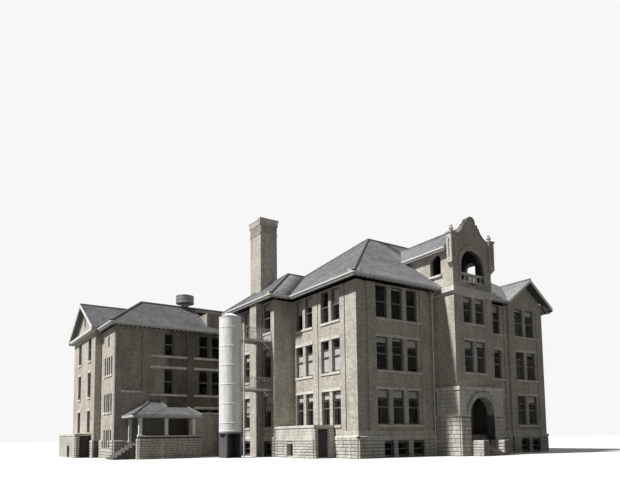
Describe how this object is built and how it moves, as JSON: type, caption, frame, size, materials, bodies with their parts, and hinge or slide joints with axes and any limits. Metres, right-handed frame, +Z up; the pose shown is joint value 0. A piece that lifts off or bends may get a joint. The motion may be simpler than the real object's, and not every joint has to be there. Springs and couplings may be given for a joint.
{
  "type": "school building",
  "caption": "Three-storey school with a hipped main block, an arched entrance tower with a belfry, a rear wing, a side porch and a covered fire slide",
  "frame": {"origin": "on the ground under the middle of the whole building", "axes": "+X along the street front to the right, +Y away from the street, +Z up"},
  "size_m": [39.818, 35.098, 23.3],
  "materials": {
    "buff_brick": "pale buff pressed brick with thin joints",
    "limestone": "pale limestone, rock-faced at the base and smooth in the trim",
    "roof_shingles": "grey slate shingles in even courses",
    "white_joinery": "white oil paint on wood",
    "sash_paint": "dark oil paint on the window sashes",
    "window_glass": "dark window glass",
    "door_paint": "dark painted boards",
    "floor_concrete": "plain grey concrete",
    "painted_steel": "pale grey paint on sheet steel"
  },
  "bodies": {
    "building": {"main_stone_base": "limestone", "front_wall": "buff_brick", "pavilion_wall": "buff_brick", "left_side_wall": "buff_brick", "rear_side_walls": "buff_brick", "right_side_wall": "buff_brick", "back_wall": "buff_brick", "main_floors": "floor_concrete", "main_roof": "roof_shingles", "pavilion_roof": "roof_shingles", "stone_sills": "limestone", "main_window_frames": "sash_paint", "main_window_glass": "window_glass", "entrance_piers": "limestone", "entrance_arch": "limestone", "entrance_band": "limestone", "entrance_steps": "limestone", "vestibule_wall": "buff_brick", "entrance_doors": "door_paint", "tower_walls": "buff_brick", "string_course": "limestone", "belfry_front": "limestone", "belfry_walls": "buff_brick", "belfry_balustrade": "limestone", "corner_piers": "limestone", "tower_roof": "roof_shingles", "chimney_shaft": "buff_brick", "chimney_cap": "limestone", "side_vestibule": "limestone", "side_vestibule_coping": "limestone", "slide_tube": "painted_steel", "slide_tube_cap": "painted_steel", "slide_tube_base": "floor_concrete", "fire_balconies": "floor_concrete", "balcony_braces": "painted_steel", "balcony_railings": "painted_steel", "link_bay": "buff_brick", "link_annex": "buff_brick", "porch_base": "limestone", "porch_posts": "white_joinery", "porch_roof": "roof_shingles", "wing_stone_base": "limestone", "wing_front_wall": "buff_brick", "wing_corner_wall": "buff_brick", "wing_gable_wall": "buff_brick", "wing_rear_walls": "buff_brick", "wing_floors": "floor_concrete", "wing_roof": "roof_shingles", "wing_gable_roof": "roof_shingles", "wing_cornice": "white_joinery", "roof_ventilator": "painted_steel", "wing_annex": "limestone", "wing_annex_coping": "limestone", "wing_window_frames": "sash_paint", "wing_window_glass": "window_glass", "downpipes": "painted_steel"},
    "side_door": {"side_door": "door_paint"},
    "wing_door": {"wing_door": "door_paint"}
  },
  "joints": [
    {"name": "side_door_hinge", "type": "hinge", "parent": "building", "child": "side_door", "pos_m": [-5.952, -10.61, 1.2], "axis": [0, 0, -1], "range_deg": [0, 90]},
    {"name": "wing_door_hinge", "type": "hinge", "parent": "building", "child": "wing_door", "pos_m": [-19.442, 8.89, 1.1], "axis": [0, 0, -1], "range_deg": [0, 90]}
  ]
}
